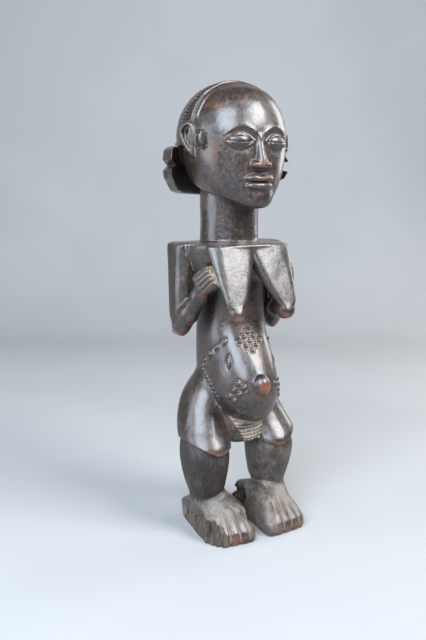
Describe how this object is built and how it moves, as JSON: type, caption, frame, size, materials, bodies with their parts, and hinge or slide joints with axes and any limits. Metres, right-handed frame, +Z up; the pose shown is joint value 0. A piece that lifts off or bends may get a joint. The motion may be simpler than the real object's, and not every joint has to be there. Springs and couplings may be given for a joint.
{
  "type": "standing female ancestor figure",
  "caption": "Carved dark wood figure of a standing woman with hands at her breasts, a notched headband and a cross-shaped chignon, on bent legs and broad feet.",
  "frame": {"origin": "middle of the bounding box, at the level of the soles", "axes": "+Z up, she faces -Y, +X towards her left side"},
  "size_m": [0.128, 0.1332, 0.4454],
  "materials": {
    "wood": "dark hardwood with a polished, hand-worn black-brown patina, redder on worn edges, with pale dust in the cuts"
  },
  "bodies": {
    "root": {"figure": "wood"}
  },
  "joints": []
}
